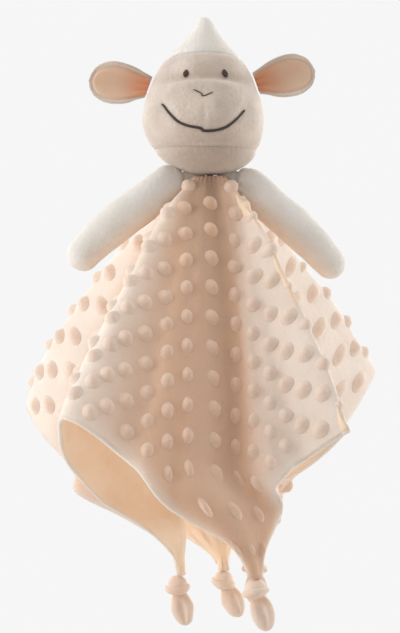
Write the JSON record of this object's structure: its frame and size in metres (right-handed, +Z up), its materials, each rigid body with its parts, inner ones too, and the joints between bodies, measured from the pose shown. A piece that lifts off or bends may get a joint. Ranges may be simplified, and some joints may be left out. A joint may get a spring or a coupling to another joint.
{
  "type": "comfort blanket",
  "caption": "Lamb-headed comfort blanket: stuffed head with an embroidered face, side ears and stuffed arms on a lined square of dotted plush whose corners are tied in knots.",
  "frame": {"origin": "tip of the crown, where the toy is held up", "axes": "+Z up, the face looks along -Y, +X towards the ear that is on the right as the face is seen"},
  "size_m": [0.2225, 0.2264, 0.3655],
  "materials": {
    "face_velour": "short velour pile, matt",
    "white_plush": "soft off-white plush, matt",
    "ear_satin": "smooth satin, soft sheen",
    "brown_thread": "satin-stitched embroidery thread",
    "peach_minky": "dotted minky plush, matt with a soft sheen",
    "peach_lining": "thin smooth plush, matt",
    "pale_thread": "wound sewing thread",
    "polyester_fill": "loose polyester fibre"
  },
  "bodies": {
    "head": {"crown_cone": "white_plush", "face_panel": "face_velour", "chin_panel": "face_velour", "head_back_left": "white_plush", "head_back_right": "white_plush", "head_stuffing": "polyester_fill", "eye_left": "brown_thread", "eye_right": "brown_thread", "nose_stitch": "brown_thread", "mouth_stitch": "brown_thread"},
    "neck": {"neck_thread": "pale_thread"},
    "ear_left": {"ear_left_back": "face_velour", "ear_left_lining": "ear_satin"},
    "ear_right": {"ear_right_back": "face_velour", "ear_right_lining": "ear_satin"},
    "blanket": {"blanket_minky": "peach_minky", "blanket_lining": "peach_lining"},
    "arm_left": {"arm_left_sleeve": "white_plush", "arm_left_stuffing": "polyester_fill"},
    "arm_right": {"arm_right_sleeve": "white_plush", "arm_right_stuffing": "polyester_fill"},
    "front_knot": {"front_knot": "peach_minky"},
    "right_knot": {"right_knot": "peach_minky"},
    "back_knot": {"back_knot": "peach_minky"},
    "left_knot": {"left_knot": "peach_minky"}
  },
  "joints": [
    {"name": "neck_turn", "type": "hinge", "parent": "head", "child": "neck", "pos_m": [0.003, 0, -0.0947], "axis": [0, 0, 1], "range_deg": [-40, 40], "stiffness_Nm_per_rad": 0.02},
    {"name": "neck_nod", "type": "hinge", "parent": "neck", "child": "blanket", "pos_m": [0.003, 0, -0.0947], "axis": [1, 0, 0], "range_deg": [-12, 12], "stiffness_Nm_per_rad": 0.6},
    {"name": "ear_left_flop", "type": "hinge", "parent": "head", "child": "ear_left", "pos_m": [-0.03388, 0.00114, -0.04205], "axis": [0.3498, 0, 0.9368], "range_deg": [-28, 28], "stiffness_Nm_per_rad": 0.01},
    {"name": "ear_right_flop", "type": "hinge", "parent": "head", "child": "ear_right", "pos_m": [0.0307, 0.00111, -0.03968], "axis": [0.3434, 0, -0.9392], "range_deg": [-28, 28], "stiffness_Nm_per_rad": 0.01},
    {"name": "arm_left_raise", "type": "hinge", "parent": "blanket", "child": "arm_left", "pos_m": [-0.01768, -0.00365, -0.1027], "axis": [-0.1736, 0.9848, 0], "range_deg": [-6, 45], "stiffness_Nm_per_rad": 0.12},
    {"name": "arm_right_raise", "type": "hinge", "parent": "blanket", "child": "arm_right", "pos_m": [0.02295, -0.00139, -0.1027], "axis": [-0.0698, -0.9976, 0], "range_deg": [-6, 45], "stiffness_Nm_per_rad": 0.12},
    {"name": "front_knot_swing", "type": "hinge", "parent": "blanket", "child": "front_knot", "pos_m": [0.0284, -0.08468, -0.33326], "axis": [-1, 0, 0], "range_deg": [-24, 28], "stiffness_Nm_per_rad": 0.004},
    {"name": "right_knot_swing", "type": "hinge", "parent": "blanket", "child": "right_knot", "pos_m": [0.03001, 0.01, -0.33027], "axis": [0, -1, 0], "range_deg": [-24, 28], "stiffness_Nm_per_rad": 0.004},
    {"name": "back_knot_swing", "type": "hinge", "parent": "blanket", "child": "back_knot", "pos_m": [0.01149, 0.038, -0.34228], "axis": [1, 0, 0], "range_deg": [-24, 28], "stiffness_Nm_per_rad": 0.004},
    {"name": "left_knot_swing", "type": "hinge", "parent": "blanket", "child": "left_knot", "pos_m": [-0.01651, 0.002, -0.3413], "axis": [0, 1, 0], "range_deg": [-24, 28], "stiffness_Nm_per_rad": 0.004}
  ]
}
